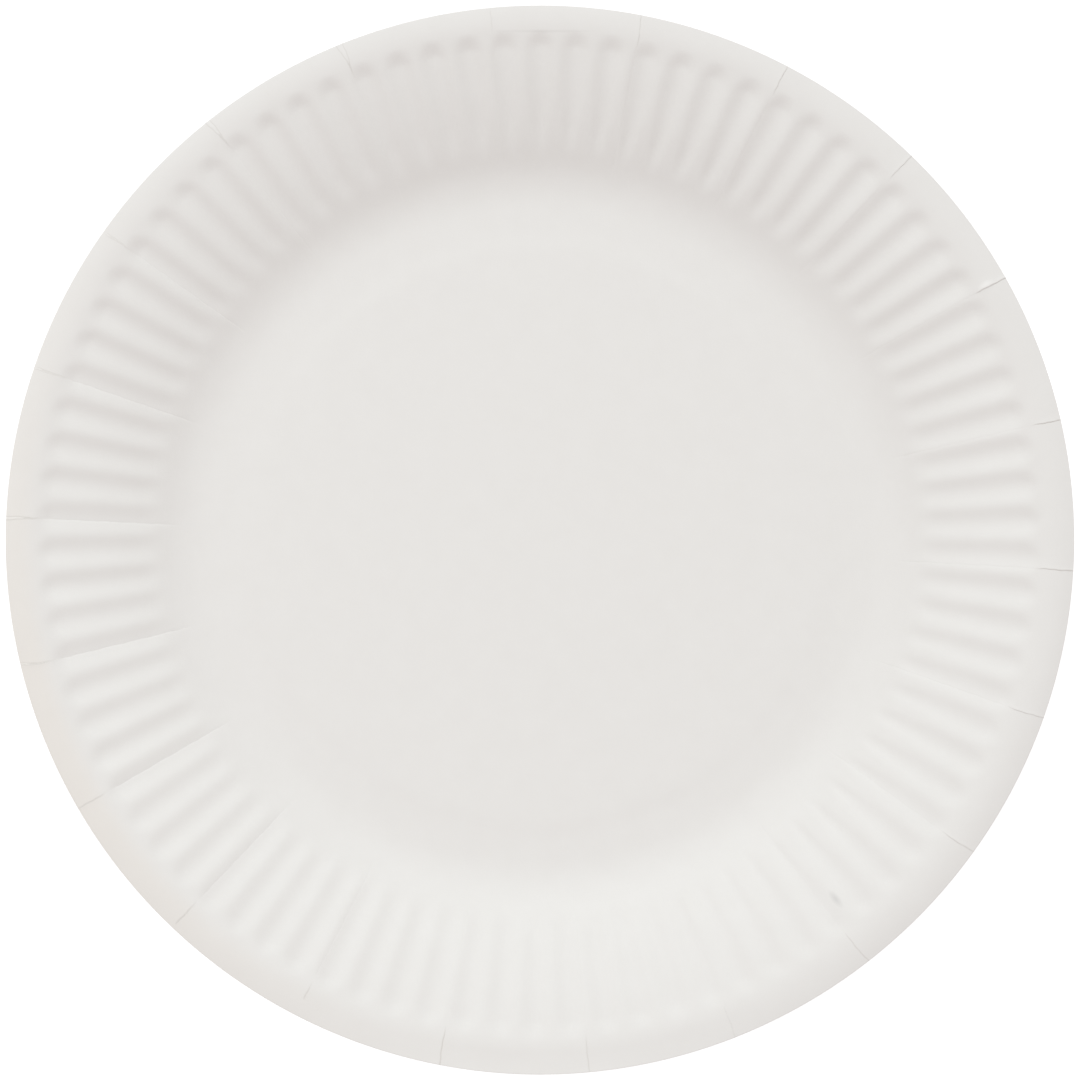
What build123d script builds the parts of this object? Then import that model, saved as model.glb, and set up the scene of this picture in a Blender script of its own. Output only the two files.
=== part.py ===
"""Fluted paper plate: one disc of board, scored round its edge and pressed into a dish.

The dish is formed by a round die with a fluted wall.  The disc lay a little off the die's centre when
it was pressed, so the form is built about the die's axis and trimmed to the disc's outline about the
origin.  Millimetres, +Z up, origin under the centre of the disc, at the level the plate stands on.
"""

from build123d import *
from math import asin, atan, cos, degrees, hypot, radians, sin, sqrt, tan
import os

# The disc of board
plate_diameter = 230.0
board = 0.4  # thickness

# The pressed form.  Widths are measured level, from the outline inwards.
plate_height = 16.0
rim_width = 6.7  # outline to the flutes' outer ends
crest_width = 3.2  # flutes' outer ends to the rim's highest line
wall_width = 26.8  # the fluted band
bend_width = 10.5  # from the foot ring up to the wall
foot_width = 4.0  # the flat ring that the plate stands on
step_width = 6.0  # from the foot ring to the raised floor
floor_rise = 0.25  # floor above the foot ring
rim_slope = 13.5  # degrees, of the wall at the flutes' outer ends
lip_round = 20.0  # outside the highest line, the rim turns down on this radius

# The die lay off the disc's centre by
die_shift_x = -0.2
die_shift_y = 1.0

# Flutes: grooves pressed down out of the wall, with smooth crests between them
flute_count = 86
flute_angle = 1.83  # degrees, to the middle of the first groove
lead_in = 5.0  # length over which a groove deepens, at its inner end
lead_out = 2.8  # and at its outer end
inner_depth = 0.56  # where the lead-in ends
outer_depth = 0.79  # where the lead-out starts, the groove deepening evenly from one to the other

# Creases: the scores where the gathered board closes up, straight lines from the edge in towards a
# centre of their own
crease_count = 22
crease_angle = 13.5  # degrees, to the first
crease_length = 36.5
crease_width = 0.25
crease_depth = 0.12
crease_shift_x = 0.0
crease_shift_y = -0.8

# What is made only to be trimmed or cut away reaches this far past the outline and above the face
past = 1.0
proud = 0.1

disc_radius = plate_diameter / 2
die_shift = hypot(die_shift_x, die_shift_y)
flute_end = disc_radius - rim_width
flute_start = flute_end - wall_width
bend_start = flute_start - bend_width
foot_start = bend_start - foot_width
floor_radius = foot_start - step_width
crest_radius = flute_end + crest_width

# An arc whose slope goes from one angle to another rises by its width times the tangent of their mean.
# The wall's steepest slope is the one that brings bend, wall and crest together up to the height.
half_rim = tan(radians(rim_slope) / 2)
rise = plate_height - board
square = bend_width * half_rim
linear = rise * half_rim + bend_width + wall_width - crest_width * half_rim**2
constant = rise - (wall_width + crest_width) * half_rim
half_wall = (linear - sqrt(linear**2 - 4 * square * constant)) / (2 * square)
wall_slope = 2 * degrees(atan(half_wall))
step_slope = 2 * degrees(atan(floor_rise / step_width))

# Radii of the board's upper face along its section
step_round = step_width / 2 / sin(radians(step_slope))
bend_round = bend_width / sin(radians(wall_slope))
wall_round = wall_width / (sin(radians(wall_slope)) - sin(radians(rim_slope)))
crest_round = crest_width / sin(radians(rim_slope))
lip_sweep = degrees(asin((disc_radius + die_shift + past - crest_radius) / lip_round))

# The wall arc's centre, in the section: radius and height
wall_centre_r = flute_end + wall_round * sin(radians(rim_slope))
crest_centre_z = plate_height - crest_round
wall_centre_z = crest_centre_z - (wall_round - crest_round) * cos(radians(rim_slope))

die_centre = (die_shift_x, die_shift_y)
die_plane = Plane(origin=die_centre, x_dir=(1, 0, 0), z_dir=(0, -1, 0))
die_axis = Axis(die_centre, (0, 0, 1))


def wall_point(slope, height):
    """Radius and height of the wall where it has this slope, this far above its upper face."""
    reach = wall_round + height
    return (
        wall_centre_r - reach * sin(radians(slope)),
        wall_centre_z + reach * cos(radians(slope)),
    )


def dish_line(height):
    """Section of floor, foot ring and bend, parallel to the upper face: its first and last point."""
    floor = Line((0, board + floor_rise + height), (floor_radius, board + floor_rise + height))
    shoulder = JernArc(floor @ 1, floor % 1, step_round + height, -step_slope)
    toe = JernArc(shoulder @ 1, shoulder % 1, step_round - height, step_slope)
    foot = Line(toe @ 1, (bend_start, board + height))
    bend = JernArc(foot @ 1, foot % 1, bend_round - height, wall_slope)
    return floor @ 0, bend @ 1


def rim_line(height):
    """Section of the rim, parallel to the upper face, from the flutes out past the outline."""
    outwards = (cos(radians(rim_slope)), sin(radians(rim_slope)))
    crest = JernArc(wall_point(rim_slope, height), outwards, crest_round + height, -rim_slope)
    lip = JernArc(crest @ 1, crest % 1, lip_round + height, -lip_sweep)
    return crest @ 0, lip @ 1


def wall_poles(steep, gentle, height):
    """Poles of the cubic that follows the wall's arc between two slopes."""
    handle = 4 / 3 * tan(radians(steep - gentle) / 4) * (wall_round + height)
    start = Vector(wall_point(steep, height))
    end = Vector(wall_point(gentle, height))
    return [
        start,
        start + handle * Vector(cos(radians(steep)), sin(radians(steep))),
        end - handle * Vector(cos(radians(gentle)), sin(radians(gentle))),
        end,
    ]


def flute_patch(section, depths):
    """One groove of the wall as a Bezier patch, from crest to crest.

    Round the die each pole of the section is carried on a quartic arc one flute long, and the arc's
    middle pole alone is lowered: that makes a groove 16 u^2 (1 - u)^2 deep with level crests.
    """
    half = radians(180 / flute_count)
    handle = 4 / 3 * tan(half / 2)
    first = Vector(cos(half), -sin(half))
    second = first + handle * Vector(sin(half), cos(half))
    last = Vector(cos(half), sin(half))
    third = last - handle * Vector(-sin(half), cos(half))
    arc = [first, (first + 3 * second) / 4, (second + third) / 2, (3 * third + last) / 4, last]
    sink = [0, 0, 8 / 3, 0, 0]
    return Face.make_bezier_surface(
        [
            [(pole.X * turn.X, pole.X * turn.Y, pole.Y - depth * drop) for turn, drop in zip(arc, sink)]
            for pole, depth in zip(section, depths)
        ]
    )


def slope_at(radius):
    """Slope of the wall's upper face at this radius, in degrees."""
    return degrees(asin((wall_centre_r - radius) / wall_round))


def fluted_band(above, below):
    """The fluted wall as a solid, from above its upper face to below it.

    Its grooves are in three runs, whose depths at the section's poles meet at one even growth.
    """
    slopes = [wall_slope, slope_at(flute_start + lead_in), slope_at(flute_end - lead_out), rim_slope]
    full_length = wall_width - lead_in - lead_out
    growth = (outer_depth - inner_depth) / full_length
    third = growth * full_length / 3
    deepening = [0, 0, inner_depth - growth * lead_in / 3, inner_depth]
    full = [inner_depth, inner_depth + third, outer_depth - third, outer_depth]
    fading = [outer_depth, outer_depth + growth * lead_out / 3, 0, 0]
    runs = list(zip(slopes, slopes[1:], [deepening, full, fading]))
    patches = [
        flute_patch(wall_poles(steep, gentle, height), depths)
        for height in (above, -below)
        for steep, gentle, depths in runs
    ]
    patches += [
        flute_patch([Vector(wall_point(slope, above)), Vector(wall_point(slope, -below))], [0, 0])
        for slope in (wall_slope, rim_slope)
    ]
    flutes = Location(die_centre) * PolarLocations(0, flute_count, flute_angle)
    return Solid(Shell([place * patch for place in flutes for patch in patches]))


def pressed_layer(above, below):
    """The whole pressed form as a layer, from above its upper face to below it, untrimmed."""
    with BuildPart() as layer:
        for line in (dish_line, rim_line):
            with BuildSketch(die_plane):
                with BuildLine():
                    upper = line(above)
                    lower = line(-below)
                    Line(upper[0], lower[0])
                    Line(upper[1], lower[1])
                make_face()
            revolve(axis=die_axis)
        add(fluted_band(above, below))
    return layer.part


crease_reach = disc_radius + hypot(crease_shift_x, crease_shift_y) + past
crease_cut = crease_reach - disc_radius + crease_length

# The creases' share of the layer that runs from just above the board to their own depth
with BuildPart() as creases:
    with BuildSketch():
        with Locations((crease_shift_x, crease_shift_y)):
            with PolarLocations(crease_reach - crease_cut / 2, crease_count, crease_angle):
                Rectangle(crease_cut, crease_width)
    extrude(amount=plate_height + proud)
    add(pressed_layer(proud, crease_depth), mode=Mode.INTERSECT)

with BuildPart() as plate:
    add(pressed_layer(0, board))
    with BuildSketch():
        Circle(disc_radius)
    extrude(amount=plate_height + proud, mode=Mode.INTERSECT)
    add(creases.part, mode=Mode.SUBTRACT)

plate.part.label = "plate"
os.makedirs("parts", exist_ok=True)
export_step(plate.part, "parts/plate.step")
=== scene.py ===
import bpy
import numpy as np
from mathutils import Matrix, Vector


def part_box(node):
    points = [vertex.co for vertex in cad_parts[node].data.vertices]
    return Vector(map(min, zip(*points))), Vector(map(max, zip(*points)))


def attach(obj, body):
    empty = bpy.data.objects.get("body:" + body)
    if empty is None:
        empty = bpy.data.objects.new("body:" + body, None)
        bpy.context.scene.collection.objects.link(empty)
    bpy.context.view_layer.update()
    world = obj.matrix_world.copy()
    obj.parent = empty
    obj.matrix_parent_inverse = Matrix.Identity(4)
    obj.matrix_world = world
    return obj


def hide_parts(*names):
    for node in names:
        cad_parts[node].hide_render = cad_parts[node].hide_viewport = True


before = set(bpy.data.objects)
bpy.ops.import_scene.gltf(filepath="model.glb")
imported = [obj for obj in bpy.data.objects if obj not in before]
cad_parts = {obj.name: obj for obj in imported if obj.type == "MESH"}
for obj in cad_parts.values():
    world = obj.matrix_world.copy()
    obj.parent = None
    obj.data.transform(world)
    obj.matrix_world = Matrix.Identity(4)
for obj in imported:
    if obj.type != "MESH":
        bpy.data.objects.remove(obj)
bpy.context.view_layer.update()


# The plate: one disc of white paperboard about 0.4 mm thick, scored round its edge and pressed in a
# heated die.  The die dishes it, closes the scores into fine pleats and stamps grooves down out of the
# wall, and leaves the rim smooth.  The disc lay about a millimetre off the die's centre.

plate_low, plate_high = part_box("plate")
disc_radius = min(plate_high.x, plate_high.y, -plate_low.x, -plate_low.y)
plate_height = plate_high.z
board = 0.0004
lip_room = 0.00025  # left between the crest and the plate's height, for the pleats' raised lips
die_x = -0.0002
die_y = 0.00117

# Radii from the die's axis at which the section's arcs meet, and the slopes there.
floor_radius = 0.061
step_middle = 0.064
foot_start = 0.067
foot_end = 0.071
flute_start = 0.0815
flute_end = 0.1083
crest_radius = 0.1115
section_end = disc_radius + 0.003  # past the disc's edge on every side
section_steps = 12000
lip_round = 0.020
step_slope = np.radians(4.77)
wall_slope = np.radians(34.58)
rim_slope = np.radians(13.5)


def smooth(x):
    """Rises from 0 to 1 as x does, level at both ends: 3 x^2 - 2 x^3."""
    x = np.clip(x, 0, 1)
    return x * x * (3 - 2 * x)


def near_side(angle, side, spread):
    """Share that is 1 at one side of the plate and falls off both ways: e to the minus square of the
    angle away from that side, counted in spreads."""
    away = np.remainder(angle - side + np.pi, 2 * np.pi) - np.pi
    return np.exp(-((away / spread) ** 2))


def section_slope(radius):
    """Slope of the board at this radius from the die's axis: along an arc its sine changes evenly."""
    meets = [0, floor_radius, step_middle, foot_start, foot_end, flute_start, flute_end, crest_radius]
    slopes = [0, 0, -step_slope, 0, 0, wall_slope, rim_slope, 0]
    lip_sine = (crest_radius - section_end) / lip_round
    return np.arcsin(np.interp(radius, meets + [section_end], [*np.sin(slopes), lip_sine]))


def section_height(radius):
    """Height of the board's upper face: the slope's tangent added up from the centre outwards, and then
    scaled so that the crest leaves room for the pleats' raised lips under the plate's height."""
    stations = np.linspace(0, section_end, section_steps + 1)
    middles = (stations[1:] + stations[:-1]) / 2
    rise = np.diff(stations) * np.tan(section_slope(middles))
    heights = np.concatenate([[0], np.cumsum(rise)])
    heights *= (plate_height - lip_room - board) / (heights.max() - heights.min())
    heights += board - heights.min()
    return np.interp(radius, stations, heights)


# The grooves: how many, where the first lies, how deep they are, and how they begin and end.  A side is
# an angle from +X, the back is the +Y side and the front the -Y side, and a swing, spread or share says
# by how much or how widely something changes there.
flute_count = 86
flute_angle = np.radians(1.83)
flute_depth_inner = 0.00056
flute_depth_outer = 0.00079
flute_depth_swing = 0.28
flute_depth_spread = 0.05
flute_drift = np.radians(0.25)
flute_drift_side = np.radians(145)
lead_in = 0.0050
long_side = np.radians(97)
long_spread = np.radians(25)
long_share = 0.8
back_taper_side = np.radians(85)
front_taper_side = np.radians(312)
taper_spread = np.radians(32)
taper_share = 0.5
taper_length = 0.018
front_weakness = 0.14
lead_out = 0.0039
end_round = 0.0022
end_overrun = 0.0006
random = np.random.default_rng(7)
flute_depths = 1 + flute_depth_spread * random.standard_normal(flute_count)


def flute_drop(radius, angle):
    """How far the grooves lie under the wall: 16 u^2 (1 - u)^2 from crest to crest, eased in and out,
    and growing evenly from the inner depth to the outer one between.

    The outer ends run on a touch into the rim and are rounded: towards a groove's sides it stops short
    by a share of (2 u - 1)^2.  The press bit a little deeper at the back, which adds a share of the
    angle's sine, and there the inner ends fade in over a longer way.  At the back and at the front the
    grooves narrow inwards to a point, and at the front they are weaker.  The board crept in the die, so
    the grooves stray from even spacing by a cosine of the angle.
    """
    drift = flute_drift * np.cos(angle - flute_drift_side)
    turn = (angle - flute_angle - drift) * flute_count / (2 * np.pi) + 0.5
    which = np.floor(turn).astype(int) % flute_count
    u = turn - np.floor(turn)
    full_start, full_end = flute_start + lead_in, flute_end - lead_out
    growth = (flute_depth_outer - flute_depth_inner) / (full_end - full_start)
    depth = flute_depth_inner + growth * (radius - full_start)
    depth = depth * (1 + flute_depth_swing * np.sin(angle)) * flute_depths[which]
    outer_end = flute_end + end_overrun - end_round * (2 * u - 1) ** 2
    way_in = lead_in * (1 + long_share * near_side(angle, long_side, long_spread))
    depth = depth * smooth((radius - flute_start) / way_in) * smooth((outer_end - radius) / lead_out)
    front_taper = near_side(angle, front_taper_side, taper_spread)
    depth = depth * (1 - front_weakness * front_taper)
    taper = near_side(angle, back_taper_side, taper_spread) + front_taper
    width = 1 - taper_share * taper * (1 - smooth((radius - flute_start) / taper_length))
    within = np.clip(0.5 + (u - 0.5) / width, 0, 1)
    return depth * 16 * (within * (1 - within)) ** 2


# The lip's fall, as shares of the even turn-down, on eight sides counter-clockwise from +X.
lip_falls = np.array([2.3, 0.6, 1.0, 1.4, 2.0, 1.3, -0.5, 1.3])
level_drop = 0.00010


def rim_lift(radius, angle):
    """How the rim's form changes on its way round.

    The lip falls by the distance beyond the crest squared over twice its radius, times a share that
    goes smoothly from one side's value to the next.  Where it falls less, or even runs on upwards, the
    wall is a little lower, so that the edge stays under the plate's height.
    """
    beyond = np.maximum(radius - crest_radius, 0)
    part_turn = np.remainder(angle, 2 * np.pi) * len(lip_falls) / (2 * np.pi)
    before = np.floor(part_turn).astype(int)
    share = smooth(part_turn - before)
    after = (before + 1) % len(lip_falls)
    fall = lip_falls[before % len(lip_falls)] * (1 - share) + lip_falls[after] * share
    lower = level_drop * np.maximum(1 - fall, 0) * smooth((radius - foot_end) / (flute_end - foot_end))
    return (1 - fall) * beyond**2 / (2 * lip_round) - lower


# The pleats, counter-clockwise from the +X side.  Each has two fold lines that run from the edge in
# towards the scores' own centre: on a tight pleat they lie together and show as one thin crack, and on
# an open one they make a narrow V.  In millimetres, apart from the second number, which is a share:
# how far the lines stand apart at the edge, how deep the crack is, how far its outer end leans
# counter-clockwise, how far in from the edge it stays open, how high its lip stands on the
# counter-clockwise side (on the other side if negative), how far in from the edge it begins, and how
# deep a valley the fold makes down the wall.
pleats = np.array([
    (0.10, 0.64, -0.3, 6.8, 0.12, 0.0, 0.05),
    (0.16, 0.30, -0.3, 9.0, 0.17, 0.0, 0.06),
    (0.16, 0.29, 0.0, 7.8, 0.10, 0.0, 0.05),
    (0.14, 0.34, 0.0, 7.8, 0.10, 0.0, 0.05),
    (0.12, 0.26, 0.5, 8.3, 0.06, 0.0, 0.06),
    (0.10, 0.22, 0.0, 6.3, 0.02, 0.8, 0.04),
    (1.40, 0.50, 0.5, 8.3, 0.06, 0.0, 0.05),
    (1.10, 0.52, 0.4, 8.3, 0.07, 0.0, 0.08),
    (0.45, 0.36, 0.1, 8.3, 0.05, 1.0, 0.15),
    (0.45, 0.45, 0.1, 8.3, 0.05, 0.8, 0.17),
    (0.70, 0.68, 0.3, 8.3, 0.06, 0.0, 0.18),
    (0.45, 0.50, -0.9, 8.3, 0.09, 0.4, 0.17),
    (0.12, 0.64, 0.0, 7.8, 0.08, 0.4, 0.15),
    (0.14, 0.70, 0.0, 8.3, 0.05, 1.5, 0.09),
    (0.12, 0.60, 0.0, 8.5, 0.04, 4.2, 0.04),
    (0.08, 0.70, 0.3, 9.0, 0.04, 0.0, 0.02),
    (0.10, 0.40, 0.0, 8.8, 0.05, 0.0, 0.02),
    (0.10, 0.08, -0.2, 8.3, -0.10, 0.0, 0.02),
    (0.10, 0.38, 0.4, 8.8, 0.04, 0.0, 0.02),
    (0.12, 0.36, 0.4, 8.8, 0.09, 0.0, 0.03),
    (0.12, 0.27, 0.3, 8.8, 0.10, 0.0, 0.05),
    (0.12, 0.46, -0.1, 8.8, 0.11, 0.0, 0.06),
])
pleats[:, [0, 2, 3, 4, 5, 6]] *= 0.001
pleat_open, pleat_deep, pleat_lean, pleat_reach, pleat_lip, pleat_closed, pleat_valley = pleats.T
pleat_count = len(pleats)
first_pleat = np.radians(13.5)
pleat_start = 0.0785
pleat_centre_y = -0.0007
pleat_depth = 0.00008
pleat_wall_share = 0.3
pleat_inner_gap = 0.0001
pleat_joined_gap = 0.0004
gap_start = flute_end - 0.001
crack_side = 0.00018
crack_fade_in = 0.003
crack_fade_out = 0.0006
lip_width = 0.00045
lip_fade = 0.0015
valley_width = 0.0007
fold_fade_in = 0.004
fold_fade_out = 0.003
ply_share = 0.3
ply_ramp = 0.00022
ply_fade = 0.0010
pleat_angles = first_pleat + 2 * np.pi * np.arange(pleat_count) / pleat_count
slow_sway, slow_wave = 0.00005, 0.0061
quick_sway, quick_wave = 0.00004, 0.0023
wander_phases = random.uniform(0, 2 * np.pi, (2, pleat_count))


def pleat_wander(radius):
    """How far a fold strays to the side along its way: two small sine waves, each fold's own."""
    slow = slow_sway * np.sin(2 * np.pi * radius / slow_wave + wander_phases[0])
    quick = quick_sway * np.sin(2 * np.pi * radius / quick_wave + wander_phases[1])
    return slow + quick


def pleat_middle(radius):
    """Angle about the die's axis of each pleat's middle line where it crosses this radius.

    A straight line from the scores' centre meets the circle of this radius, and then leans over by a
    share that grows as the square from the flutes' ends to the edge.
    """
    along = np.maximum(radius, pleat_start)
    off_x = -die_x
    off_y = pleat_centre_y - die_y
    east, north = np.cos(pleat_angles), np.sin(pleat_angles)
    nearest = off_x * east + off_y * north
    reach = -nearest + np.sqrt(along**2 - off_x**2 - off_y**2 + nearest**2)
    angle = np.arctan2(off_y + reach * north, off_x + reach * east)
    angle = np.unwrap(angle, axis=-1)
    rim_share = np.clip((along - flute_end) / (disc_radius - flute_end), 0, 1)
    return angle + (pleat_lean * rim_share**2 + pleat_wander(along)) / along


def pleat_gap(radius):
    """How far apart a pleat's two lines are at this radius: nearly closed inside, and opening smoothly
    over the rim to the pleat's own width at the edge."""
    rim_share = smooth((radius - gap_start) / (disc_radius - gap_start))
    return pleat_inner_gap + (pleat_open - pleat_inner_gap) * rim_share


# The board is one grid carried out from the centre over the upper face, round the cut edge and back in
# under the lower face.  A row is a radius and a depth through the board, from 0 on top to 1 below.
# Outside the flutes' ends the rows spread to follow the disc's own edge, so there they count as shares.
def rows_between(start, end, count):
    """Evenly spaced stations after start, up to and including end."""
    return np.linspace(start, end, count + 1)[1:]


top_stations = np.concatenate([
    [0.012, 0.030, 0.046, 0.056, floor_radius],
    rows_between(floor_radius, foot_start, 5),
    rows_between(foot_start, foot_end, 2),
    rows_between(foot_end, flute_start, 6),
    rows_between(flute_start, flute_start + lead_in, 4),
    rows_between(flute_start + lead_in, flute_end - lead_out, 14),
    rows_between(flute_end - lead_out, flute_end, 7),
])
bottom_stations = np.concatenate([
    [0.020, 0.050, floor_radius],
    rows_between(floor_radius, foot_start, 4),
    rows_between(foot_start, foot_end, 1),
    rows_between(foot_end, flute_start, 4),
    rows_between(flute_start, flute_start + lead_in, 3),
    rows_between(flute_start + lead_in, flute_end - lead_out, 3),
    rows_between(flute_end - lead_out, flute_end, 4),
])
rim_shares = np.append(rows_between(0, 0.97, 13), 0.994)
under_shares = np.array([0.2, 0.44, 0.68, 0.89, 0.994])
edge_depths = np.array([0.10, 0.35, 0.65, 0.90])

station = np.concatenate([
    top_stations,
    np.full(len(rim_shares) + len(edge_depths) + len(under_shares), flute_end),
    bottom_stations[::-1],
])
share = np.concatenate([
    0 * top_stations,
    rim_shares,
    0 * edge_depths + 1,
    under_shares[::-1],
    0 * bottom_stations,
])
depth = np.concatenate([
    0 * top_stations,
    0 * rim_shares,
    edge_depths,
    0 * under_shares + 1,
    0 * bottom_stations + 1,
])
station, share, depth = (row[:, None, None] for row in (station, share, depth))

# Columns: a close group along each pleat's two lines, and evenly spaced ones from there to the next.
# The group's outer columns stand beside the lines by the shoulders' widths.
between_count = 33
line_share = 0.4  # of a narrow gap, kept for the nick's side within it
shoulder = np.array([0.0018, 0.0011, 0.0006, 0.0003, crack_side])
nominal = station + share * (disc_radius - flute_end)
scale = nominal / disc_radius
middle = pleat_middle(nominal[:, :, 0])[:, :, None]
gap = pleat_gap(nominal[:, :, 0])[:, :, None]
inside = np.minimum(crack_side, line_share * gap)
half = gap / 2
group = np.concatenate([
    -half - shoulder, -half, -half + inside, 0 * half, half - inside, half, half + shoulder[::-1],
], axis=2)
group = middle + group * scale / nominal
following = np.concatenate([group[:, 1:, :1], group[:, :1, :1] + 2 * np.pi], axis=1)
steps = np.arange(1, between_count) / between_count
between = group[:, :, -1:] + (following - group[:, :, -1:]) * steps
angle = np.concatenate([group, between], axis=2)


def edge_radius(angle):
    """Distance from the die's axis, in this direction, to where a straight line from it meets the
    disc's circle: the greater root of the square equation."""
    toward = die_x * np.cos(angle) + die_y * np.sin(angle)
    return -toward + np.sqrt(disc_radius**2 - die_x**2 - die_y**2 + toward**2)


def crack_shape(across, gap):
    """Share of full depth this far from a pleat's middle line.

    Each of the two lines is a V-shaped nick, and where they lie close the floor between is as deep.
    """
    from_line = np.abs(np.abs(across) - gap / 2)
    nick = np.clip(1 - from_line / crack_side, 0, 1)
    floor = (np.abs(across) < gap / 2) & (gap < pleat_joined_gap)
    return np.where(floor, 1, nick)


def pleat_relief(radius, angle):
    """How far each point stands above or below the wall and rim because of the pleats beside it, and
    how much painted shade falls in the crack there.

    Each column of points takes its own pleat and the next one.  A lip and a valley fall off as powers
    of e with the distance to the side, and a ply is a step that ramps up over the line and fades.
    """
    on_wall = smooth((radius - pleat_start) / fold_fade_in) * smooth((flute_end - radius) / fold_fade_out)
    on_rim = smooth((radius - flute_end + lip_fade) / lip_fade)
    from_edge = edge_radius(angle) - radius
    relief = 0
    painted_crack_shade = 0
    for shift in (0, 1):
        which = (np.arange(pleat_count) + shift) % pleat_count
        turn = 2 * np.pi * ((np.arange(pleat_count) + shift) // pleat_count)
        line = (pleat_middle(radius[:, :1, 0])[:, which] + turn)[:, :, None]
        own_gap = pleat_gap(radius[:, :1, 0])[:, which][:, :, None]
        across = (angle - line) * radius
        deep, reach, lip, closed, valley = (
            value[which][None, :, None]
            for value in (pleat_deep, pleat_reach, pleat_lip, pleat_closed, pleat_valley)
        )
        open_share = smooth((reach - from_edge) / crack_fade_in)
        open_share = open_share * smooth((from_edge - closed) / crack_fade_out + 1)
        crack = crack_shape(across, own_gap) * deep * (radius > pleat_start)
        side = np.sign(lip) * across
        raised = np.where(side > 0, np.exp(-np.maximum(side - own_gap / 2, 0) / lip_width), 0)
        fold = np.exp(-np.maximum(np.abs(across) - own_gap / 2, 0) / valley_width)
        ply = smooth(across / ply_ramp) * np.exp(-np.maximum(across, 0) / ply_fade)
        relief = relief + np.abs(lip) * raised * on_rim * open_share
        relief = relief + valley * (ply_share * ply - fold) * on_wall
        relief = relief - pleat_depth * crack * np.maximum(open_share, pleat_wall_share * on_wall)
        # Painted shade in the crack, where it stands open.
        painted_crack_shade = painted_crack_shade + crack * open_share
    return relief, painted_crack_shade


def knock(x, y, at, turn, depth, half_length, half_width):
    """A bell of this depth, long one way and narrow the other: e to the minus squares of both ways."""
    along = (x - at[0]) * np.cos(turn) + (y - at[1]) * np.sin(turn)
    across = (y - at[1]) * np.cos(turn) - (x - at[0]) * np.sin(turn)
    return depth * np.exp(-((along / half_length) ** 2) - (across / half_width) ** 2)


# A small knock in the wall, and a flap of the top ply that stands up beside one of the pleats.
dent_turn = np.radians(309.5)
dent_radius = 0.1003
dent_at = dent_radius * np.array([np.cos(dent_turn), np.sin(dent_turn)])
dent_depth = 0.00010
dent_half_length, dent_half_width = 0.0016, 0.0008
flap_turn = np.radians(29.8)
flap_radius = 0.1105
flap_at = flap_radius * np.array([np.cos(flap_turn), np.sin(flap_turn)])
flap_height = 0.00018
flap_half_length, flap_half_width = 0.0015, 0.0006

# The points.  The board's thickness is laid off square to the section, and what the pleats raise or
# press shows half as much on the lower face.  Nothing rises past the plate's height.
under_share = 0.5
height_limit = plate_height - 0.000002
radius = station + share * (edge_radius(angle) - flute_end)
slope = section_slope(radius)
relief, painted_crack_shade = pleat_relief(radius, angle)
upper = np.broadcast_to(depth < 0.5, radius.shape)
out = radius + depth * board * np.sin(slope)
x = die_x + out * np.cos(angle)
y = die_y + out * np.sin(angle)
z = section_height(radius) - depth * board * np.cos(slope) - flute_drop(radius, angle)
z = z + relief * np.where(upper, 1, under_share) + rim_lift(radius, angle)
z = z - knock(x, y, dent_at, dent_turn, dent_depth, dent_half_length, dent_half_width)
z = z + knock(x, y, flap_at, flap_turn, flap_height, flap_half_length, flap_half_width) * upper
z = np.minimum(z, height_limit)
points = np.stack([x, y, z], axis=-1).reshape(-1, 3)

# The faces: four-sided from row to row and round to the first column, and a fan closes each pole.
row_count = len(station)
column_count = angle.shape[1] * angle.shape[2]
index = np.arange(row_count * column_count).reshape(row_count, column_count)
right = np.roll(index, -1, axis=1)
quads = np.stack([index[:-1], index[1:], right[1:], right[:-1]], axis=-1).reshape(-1, 4)
top_pole = len(points)
under_pole = top_pole + 1
floor_top = section_height(0)
poles = np.array([[die_x, die_y, floor_top], [die_x, die_y, floor_top - board]])
points = np.concatenate([points, poles])
top_fan = np.stack([np.full(column_count, top_pole), index[0], right[0]], axis=-1)
under_fan = np.stack([np.full(column_count, under_pole), right[-1], index[-1]], axis=-1)

mesh = bpy.data.meshes.new("plate_board")
mesh.from_pydata(points.tolist(), [], quads.tolist() + top_fan.tolist() + under_fan.tolist())
mesh.update()
mesh.shade_smooth()


def write_value(name, values, at_poles):
    """Puts a value at each point of the grid, and then at the two poles, into the mesh."""
    layer = mesh.attributes.new(name, "FLOAT", "POINT")
    layer.data.foreach_set("value", np.append(values.ravel(), at_poles).astype(np.float32))


# The rim has a warm tint of painted light round the -X side, standing in for warm light bounced onto it:
# a bell-shaped share of the angle, that grows outwards.
warm_light_side = np.radians(202)
warm_light_spread = np.radians(38)
warm_light_start = flute_end - 0.001
warm_light_fade = 0.005
warm_light_share = near_side(angle, warm_light_side, warm_light_spread) * smooth((radius - warm_light_start) / warm_light_fade)
# The share of painted shade along each crack, kept under the name crack.
write_value("crack", painted_crack_shade, [0, 0])
# A warm tint of painted light round the -X side of the rim.
write_value("painted_warm_light", warm_light_share, [0, 0])
write_value("upper_face", upper, [1, 0])

plate = bpy.data.objects.new("plate_board", mesh)
bpy.context.scene.collection.objects.link(plate)
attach(plate, "root")
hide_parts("plate")


# The board's colours, darkest to lightest cloud, and what changes them: a multiplier for the warm tint of
# painted light on the rim,
# and plain colours for the rest: painted highlight on the flap, partly its whiter torn ply, painted shade
# in the cracks and the dent, and the press line.  The press line is the straight mark of a joint in the
# die.
cloud_dark = (0.797, 0.782, 0.761)
cloud_light = (0.808, 0.794, 0.774)
# Multiplier for the warm tint of painted light on the rim.
painted_warm_tint = (1, 0.98, 0.955)
# Lighter patch on the flap: partly the whiter fibre of the torn top ply, partly painted highlight.
flap_highlight_white = (0.86, 0.85, 0.83)
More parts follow.
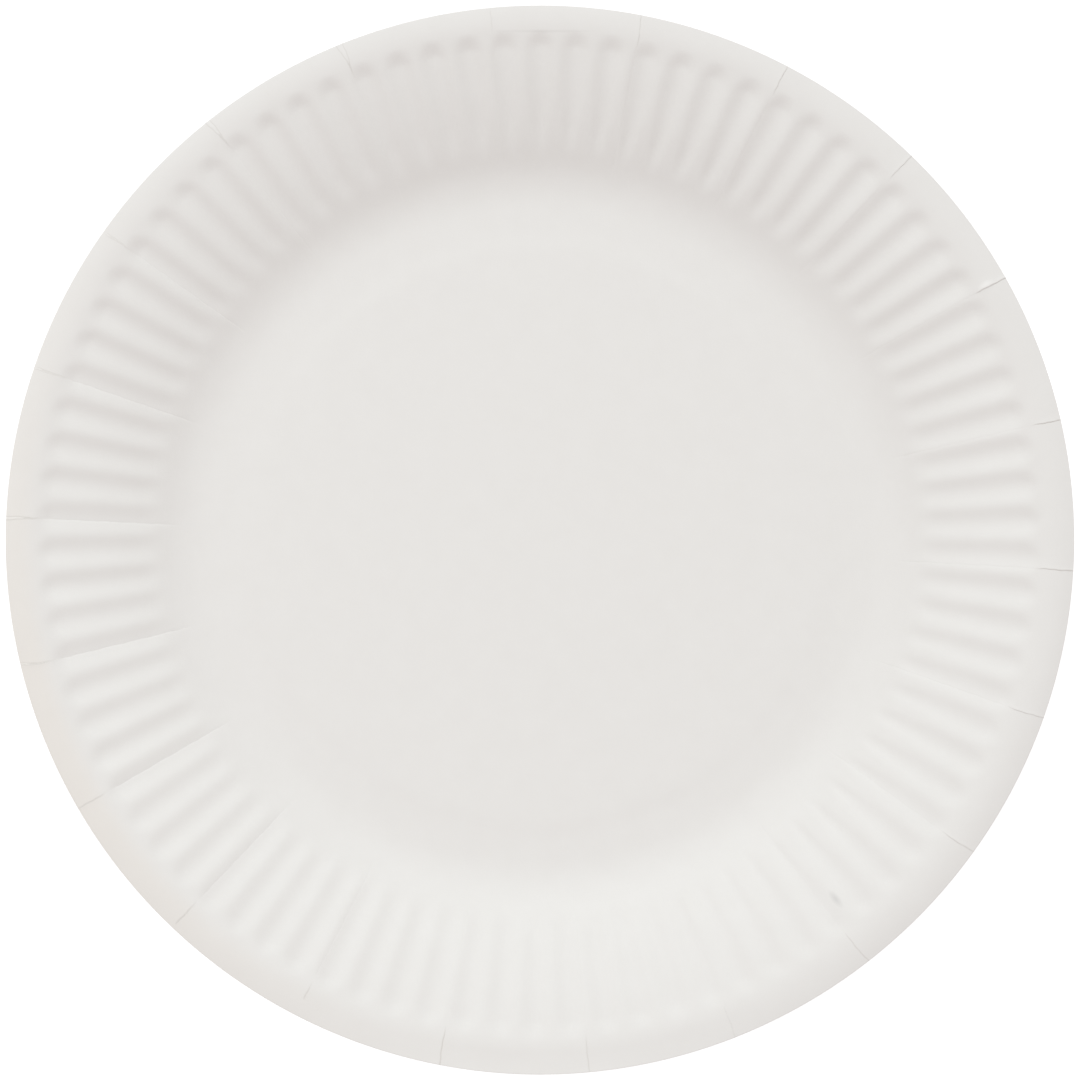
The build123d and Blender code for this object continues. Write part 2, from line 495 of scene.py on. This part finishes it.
# Painted shade in the cracks.
crack_shade_grey = (0.66, 0.635, 0.60)
# Painted shade in the dent.
dent_shade_grey = (0.67, 0.66, 0.645)
press_line_grey = (0.75, 0.735, 0.715)
flap_highlight_size = (0.0020, 0.0010)
dent_shade_size = (0.0024, 0.0010)
press_line_at = (0.0009, 0.1095)
press_line_size = (0.0125, 0.0004)


def paperboard():
    """White pressed board: faint clouds of fibre, a fine fibre grain, a warm tint of painted light on the
    rim, a lighter patch on the flap that is partly its whiter torn ply and partly painted highlight,
    painted shade as a dark line in each crack and in the dent, and a thin straight line near the +Y side."""
    material = bpy.data.materials.new("paperboard")
    material.use_nodes = True
    nodes = material.node_tree.nodes
    link = material.node_tree.links.new
    shader = nodes["Principled BSDF"]
    shader.inputs["Roughness"].default_value = 0.62
    shader.inputs["Specular IOR Level"].default_value = 0.35

    place = nodes.new("ShaderNodeTexCoord")

    clouds = nodes.new("ShaderNodeTexNoise")
    clouds.inputs["Scale"].default_value = 170
    clouds.inputs["Detail"].default_value = 5
    clouds.inputs["Roughness"].default_value = 0.6
    link(place.outputs["Object"], clouds.inputs["Vector"])

    tint = nodes.new("ShaderNodeValToRGB")
    tint.color_ramp.elements[0].position = 0.3
    tint.color_ramp.elements[0].color = (*cloud_dark, 1)
    tint.color_ramp.elements[1].position = 0.7
    tint.color_ramp.elements[1].color = (*cloud_light, 1)
    link(clouds.outputs["Fac"], tint.inputs["Fac"])

    def marked_or_painted_light(colour, share, mark_or_light, way="MIX"):
        """The colour so far, mixed with or multiplied by a mark's colour or a colour of painted light or
        shade, by this share.
        """
        mix = nodes.new("ShaderNodeMix")
        mix.data_type = "RGBA"
        mix.blend_type = way
        link(share, mix.inputs["Factor"])
        link(colour, mix.inputs["A"])
        mix.inputs["B"].default_value = (*mark_or_light, 1)
        return mix.outputs["Result"]

    def attribute(name):
        """One of the mesh's own values at each point."""
        node = nodes.new("ShaderNodeAttribute")
        node.attribute_name = name
        return node.outputs["Fac"]

    def spot(at, turn, half_sizes):
        """Share that falls evenly from 1 at a point to 0 on a long oval round it, on the upper face."""
        oval = nodes.new("ShaderNodeMapping")
        oval.vector_type = "TEXTURE"
        oval.inputs["Location"].default_value = (at[0], at[1], plate_height)
        oval.inputs["Rotation"].default_value = (0, 0, turn)
        oval.inputs["Scale"].default_value = (*half_sizes, 1)
        link(place.outputs["Object"], oval.inputs["Vector"])
        fade = nodes.new("ShaderNodeTexGradient")
        fade.gradient_type = "SPHERICAL"
        link(oval.outputs["Vector"], fade.inputs["Vector"])
        above = nodes.new("ShaderNodeMath")
        above.operation = "MULTIPLY"
        link(fade.outputs["Fac"], above.inputs[0])
        link(attribute("upper_face"), above.inputs[1])
        return above.outputs["Value"]

    # A warm tint of painted light on the rim round the -X side.
    colour = marked_or_painted_light(tint.outputs["Color"], attribute("painted_warm_light"), painted_warm_tint, "MULTIPLY")
    # A lighter patch on the flap: partly its whiter torn ply, partly painted highlight.
    colour = marked_or_painted_light(colour, spot(flap_at, flap_turn, flap_highlight_size), flap_highlight_white)
    # Painted shade darkens each crack.
    colour = marked_or_painted_light(colour, attribute("crack"), crack_shade_grey)
    # Painted shade in the dent.
    colour = marked_or_painted_light(colour, spot(dent_at, dent_turn, dent_shade_size), dent_shade_grey)
    colour = marked_or_painted_light(colour, spot(press_line_at, 0, press_line_size), press_line_grey)
    link(colour, shader.inputs["Base Color"])

    grain = nodes.new("ShaderNodeTexNoise")
    grain.inputs["Scale"].default_value = 2600
    grain.inputs["Detail"].default_value = 3
    link(place.outputs["Object"], grain.inputs["Vector"])
    bump = nodes.new("ShaderNodeBump")
    bump.inputs["Strength"].default_value = 0.25
    bump.inputs["Distance"].default_value = 0.00004
    link(grain.outputs["Fac"], bump.inputs["Height"])
    link(bump.outputs["Normal"], shader.inputs["Normal"])
    return material


plate.data.materials.append(paperboard())


# The table: a plain white top that the plate stands loose on.  It is one level disc of matt white
# board, and shines a little of its own light so that it stays white beside the plate.

def table_surface():
    """A level disc well beyond the view, a hair under the plate's foot: cosine and sine of each turn."""
    reach = 6.0
    drop = 0.00003
    side_count = 96
    turn = np.linspace(0, 2 * np.pi, side_count, endpoint=False)
    edge = np.stack([reach * np.cos(turn), reach * np.sin(turn), 0 * turn - drop], axis=-1)
    mesh = bpy.data.meshes.new("table")
    mesh.from_pydata(edge.tolist(), [], [tuple(range(side_count))])
    material = bpy.data.materials.new("table")
    material.use_nodes = True
    shader = material.node_tree.nodes["Principled BSDF"]
    shader.inputs["Base Color"].default_value = (0.3, 0.3, 0.3, 1)
    shader.inputs["Roughness"].default_value = 0.9
    shader.inputs["Emission Color"].default_value = (1, 1, 1, 1)
    shader.inputs["Emission Strength"].default_value = 0.82
    mesh.materials.append(material)
    table = bpy.data.objects.new("table", mesh)
    bpy.context.scene.collection.objects.link(table)
    return table


table_surface()


# The light: an even white room, a broad soft panel like a window beyond the plate's +Y side, which
# shades the wall and the flutes, and a weak soft lamp near the -X side.

world = bpy.data.worlds.new("room")
world.use_nodes = True
world.node_tree.nodes["Background"].inputs["Color"].default_value = (1, 0.9535, 0.9455, 1)
world.node_tree.nodes["Background"].inputs["Strength"].default_value = 0.7303
bpy.context.scene.world = world

panel_azimuth = np.radians(95)
panel_from_above = np.radians(46.3)
panel_distance = 4.0
panel = bpy.data.lights.new("panel", "AREA")
panel.shape = "RECTANGLE"
panel.size = 2.4
panel.size_y = 1.6
panel.energy = 55.0
panel.color = (0.86, 0.99, 0.997)
panel_lamp = bpy.data.objects.new("panel", panel)
panel_direction = Vector((
    np.cos(panel_azimuth) * np.sin(panel_from_above),
    np.sin(panel_azimuth) * np.sin(panel_from_above),
    np.cos(panel_from_above),
))
panel_lamp.location = panel_direction * panel_distance
panel_lamp.rotation_euler = panel_direction.to_track_quat("Z", "Y").to_euler()
bpy.context.scene.collection.objects.link(panel_lamp)

lamp_place = Vector((-0.5, 0, 0.8))
lamp = bpy.data.lights.new("lamp", "AREA")
lamp.shape = "DISK"
lamp.size = 0.4
lamp.energy = 0.72
lamp_object = bpy.data.objects.new("lamp", lamp)
lamp_object.location = lamp_place
lamp_object.rotation_euler = lamp_place.to_track_quat("Z", "Y").to_euler()
bpy.context.scene.collection.objects.link(lamp_object)
bpy.context.scene.view_settings.view_transform = "Standard"


# The camera: a long lens straight above the plate, leaning a touch towards +Y and aimed at the height
# of the rim, so that the disc just fills its view.

camera_distance = 1.1
camera_lean = np.radians(0.5)
camera_aim = Vector((0, 0.0001, plate_height))
view_width = 0.23224
camera = bpy.data.cameras.new("camera")
camera.sensor_width = 36
camera.lens = camera.sensor_width * camera_distance / view_width
camera.clip_end = 10
camera_object = bpy.data.objects.new("camera", camera)
camera_direction = Vector((0, np.sin(camera_lean), np.cos(camera_lean)))
camera_object.location = camera_aim + camera_direction * camera_distance
camera_object.rotation_euler = (-camera_lean, 0, 0)
bpy.context.scene.collection.objects.link(camera_object)
bpy.context.scene.camera = camera_object
